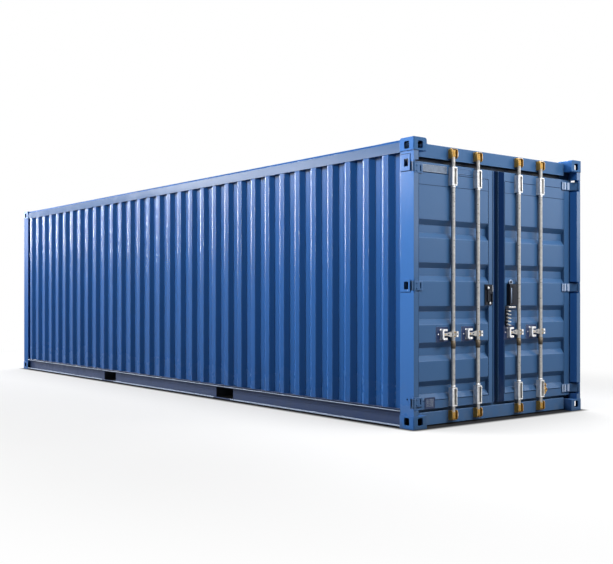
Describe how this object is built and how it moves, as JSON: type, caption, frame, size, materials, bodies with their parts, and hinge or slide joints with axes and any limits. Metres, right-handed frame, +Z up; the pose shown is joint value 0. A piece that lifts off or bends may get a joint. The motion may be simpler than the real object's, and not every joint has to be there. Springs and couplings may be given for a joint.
{
  "type": "shipping container",
  "caption": "Blue steel dry cargo container with corrugated walls, corner castings, fork pockets and two hinged end doors with vertical lock bars.",
  "frame": {"origin": "centre of the footprint, on the level plane that the four bottom corner castings stand on", "axes": "+X along the length towards the doors, +Y across the width towards the right as seen by someone who faces the doors, +Z up"},
  "size_m": [9.125, 2.438, 2.591],
  "materials": {
    "blue_paint": "semi-gloss marine paint",
    "casting_paint": "painted cast steel",
    "underside_paint": "matt underbody coating",
    "yellow_zinc": "yellow passivated zinc",
    "galvanized": "hot dip galvanized",
    "dark_steel": "black painted steel",
    "gasket_rubber": "matt rubber",
    "plywood": "varnished plywood"
  },
  "bodies": {
    "container_frame": {"top_corner_castings": "casting_paint", "bottom_corner_castings": "casting_paint", "rear_post_left": "blue_paint", "rear_post_right": "blue_paint", "front_post_left": "blue_paint", "front_post_right": "blue_paint", "top_side_rails": "blue_paint", "bottom_side_rails": "blue_paint", "pocket_frames": "blue_paint", "door_header": "blue_paint", "door_sill": "blue_paint", "front_header": "blue_paint", "front_sill": "blue_paint", "side_wall_left": "blue_paint", "side_wall_right": "blue_paint", "front_wall": "blue_paint", "roof_panel": "blue_paint", "floor_deck": "plywood", "cross_members": "underside_paint", "fork_pocket_walls": "underside_paint", "fork_pocket_roofs": "underside_paint", "cam_keepers": "yellow_zinc", "hinge_lugs": "blue_paint"},
    "left_door": {"left_door_panel": "blue_paint", "left_door_frame": "blue_paint", "left_door_gasket": "gasket_rubber", "left_door_hinges": "blue_paint", "left_bar_guides": "galvanized", "left_handle_catches": "galvanized", "left_latch_plate": "dark_steel"},
    "right_door": {"right_door_panel": "blue_paint", "right_door_frame": "blue_paint", "right_door_gasket": "gasket_rubber", "right_door_hinges": "blue_paint", "right_bar_guides": "galvanized", "right_handle_catches": "galvanized", "right_lock_box": "dark_steel"},
    "bar_1": {"lock_bar_1": "galvanized", "bar_cams_1": "yellow_zinc"},
    "bar_2": {"lock_bar_2": "galvanized", "bar_cams_2": "yellow_zinc"},
    "bar_3": {"lock_bar_3": "galvanized", "bar_cams_3": "yellow_zinc"},
    "bar_4": {"lock_bar_4": "galvanized", "bar_cams_4": "yellow_zinc"}
  },
  "joints": [
    {"name": "left_door_hinge", "type": "hinge", "parent": "container_frame", "child": "left_door", "pos_m": [4.5445, -1.201, 1.3], "axis": [0, 0, -1], "range_deg": [0, 270]},
    {"name": "right_door_hinge", "type": "hinge", "parent": "container_frame", "child": "right_door", "pos_m": [4.5445, 1.201, 1.3], "axis": [0, 0, 1], "range_deg": [0, 270]},
    {"name": "lock_bar_1_turn", "type": "hinge", "parent": "left_door", "child": "bar_1", "pos_m": [4.4915, -0.64, 1.3], "axis": [0, 0, -1], "range_deg": [-95, 0]},
    {"name": "lock_bar_2_turn", "type": "hinge", "parent": "left_door", "child": "bar_2", "pos_m": [4.4915, -0.3, 1.3], "axis": [0, 0, -1], "range_deg": [-95, 0]},
    {"name": "lock_bar_3_turn", "type": "hinge", "parent": "right_door", "child": "bar_3", "pos_m": [4.4915, 0.3, 1.3], "axis": [0, 0, -1], "range_deg": [-95, 0]},
    {"name": "lock_bar_4_turn", "type": "hinge", "parent": "right_door", "child": "bar_4", "pos_m": [4.4915, 0.64, 1.3], "axis": [0, 0, -1], "range_deg": [-95, 0]}
  ]
}
